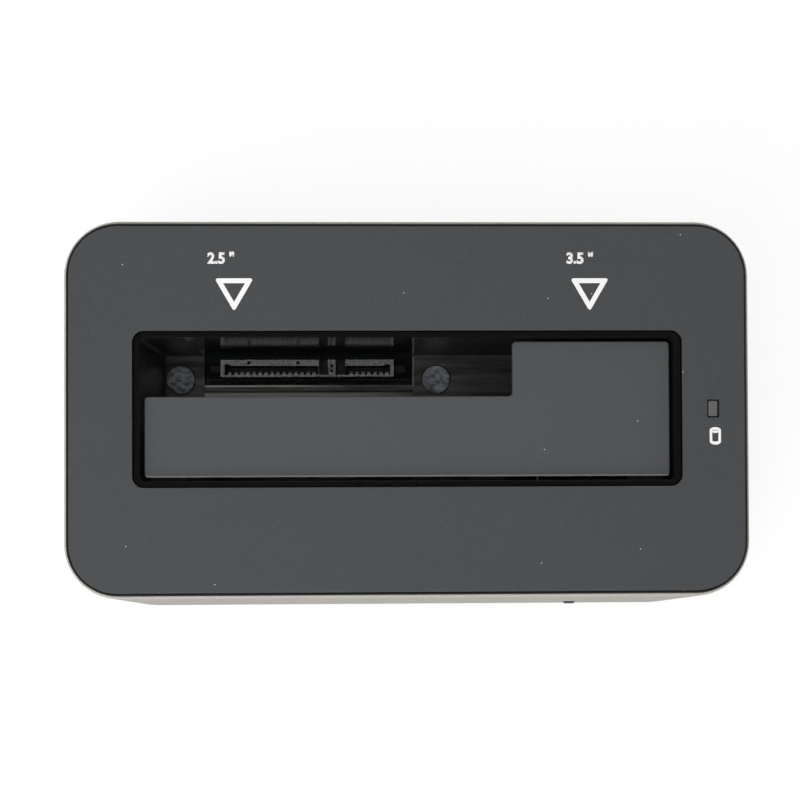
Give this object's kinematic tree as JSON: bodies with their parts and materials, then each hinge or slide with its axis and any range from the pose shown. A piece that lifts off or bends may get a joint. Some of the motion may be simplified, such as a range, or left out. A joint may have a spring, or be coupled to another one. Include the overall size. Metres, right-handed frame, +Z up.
{
  "type": "hard drive docking station",
  "caption": "Desktop dock with a wide top slot, a sprung L-shaped flap, an upright drive receptacle, rear USB and power inlets and a front slide switch.",
  "frame": {"origin": "on the surface that the feet rest on, under the middle of the case", "axes": "+X right along the slot, +Y rear with the ports, +Z up"},
  "size_m": [0.1418, 0.0822, 0.06],
  "materials": {
    "shell": "light warm grey, fine satin",
    "cover": "fine matte grain",
    "liner": "polished black",
    "base": "moulded matte",
    "foot_rubber": "matte",
    "pad_rubber": "matte",
    "steel": "plain",
    "connector_plastic": "moulded",
    "contact_metal": "gold flash",
    "board": "solder mask",
    "port_metal": "plated sheet",
    "port_plastic": "moulded",
    "clear_plastic": "translucent",
    "lamp": "resin",
    "ferrite": "plain",
    "can_metal": "satin"
  },
  "bodies": {
    "case": {"outer_shell": "shell", "top_cover": "cover", "drive_well": "liner", "base_plate": "base", "rubber_feet": "foot_rubber", "rest_pads": "pad_rubber", "flap_hinge_pin": "steel", "flap_spring": "steel", "case_screws": "steel", "board_screws": "steel", "well_screws": "steel", "switch_body": "steel", "crystal": "steel", "sata_receptacle": "connector_plastic", "power_jack_body": "connector_plastic", "bridge_chip": "connector_plastic", "memory_chip": "connector_plastic", "regulator_chips": "connector_plastic", "sata_power_contacts": "contact_metal", "sata_data_contacts": "contact_metal", "usb_port_contacts": "contact_metal", "power_jack_pin": "contact_metal", "power_jack_spring": "contact_metal", "main_board": "board", "usb_port_shell": "port_metal", "usb_port_insert": "port_plastic", "light_pipe": "clear_plastic", "indicator_lamp": "lamp", "inductors": "ferrite", "small_chip_parts": "ferrite", "electrolytic_capacitors": "can_metal"},
    "flap": {"flap_door": "cover"},
    "switch_slider": {"switch_knob": "connector_plastic"}
  },
  "joints": [
    {"name": "flap_hinge", "type": "hinge", "parent": "case", "child": "flap", "pos_m": [0, -0.0158, 0.055], "axis": [1, 0, 0], "range_deg": [-90, 0], "stiffness_Nm_per_rad": 0.012, "springref_deg": 34.38, "deforming": ["flap_spring"]},
    {"name": "power_switch", "type": "slide", "parent": "case", "child": "switch_slider", "axis": [1, 0, 0], "range_m": [0, 0.0026]}
  ]
}
